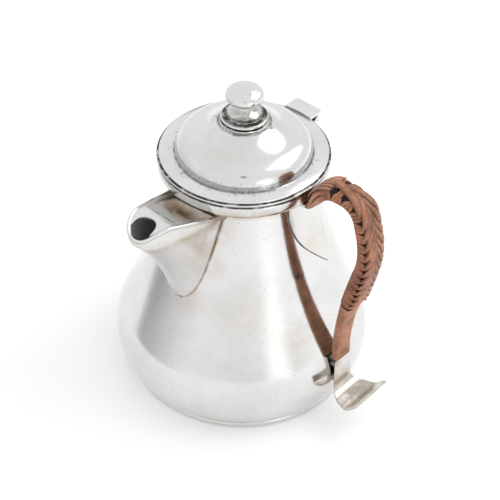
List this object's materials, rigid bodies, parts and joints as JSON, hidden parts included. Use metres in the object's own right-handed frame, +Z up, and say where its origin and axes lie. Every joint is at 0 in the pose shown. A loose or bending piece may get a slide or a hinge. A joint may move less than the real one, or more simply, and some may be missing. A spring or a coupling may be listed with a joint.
{
  "type": "coffee pot",
  "caption": "Pear-shaped silver coffee pot with a hinged domed lid, a covered beak spout and a cane-bound strap handle at a right angle to the spout.",
  "frame": {"origin": "centre of the foot ring's resting face", "axes": "+Z up, +X towards the spout, +Y towards the handle, hinge on the -X side"},
  "size_m": [0.1348, 0.1436, 0.1626],
  "materials": {
    "silver": "polished silver, worn and lightly tarnished",
    "cane": "split cane, brown, polished by use",
    "padding": "dark packing under the cane"
  },
  "bodies": {
    "pot": {"body_shell": "silver", "base_plate": "silver", "foot_ring": "silver", "neck_collar": "silver", "spout_shell": "silver", "spout_cover": "silver", "spout_rim": "silver", "handle_strap": "silver", "handle_leaf": "silver", "handle_peg": "silver", "hinge_bracket": "silver", "hinge_pin": "silver", "grip_padding": "padding", "cane_winding": "cane", "cane_plait": "cane", "lower_binding": "cane", "root_binding": "cane"},
    "lid": {"lid_dome": "silver", "lid_rim": "silver", "lid_bezel": "silver", "lid_hinge_leaf": "silver", "knob_base": "silver", "knob_stem": "silver", "knob_ball": "silver", "knob_stud": "silver", "knob_nut": "silver"}
  },
  "joints": [
    {"name": "lid_hinge", "type": "hinge", "parent": "pot", "child": "lid", "pos_m": [-0.044, 0, 0.124], "axis": [0, -1, 0], "range_deg": [0, 100]}
  ]
}
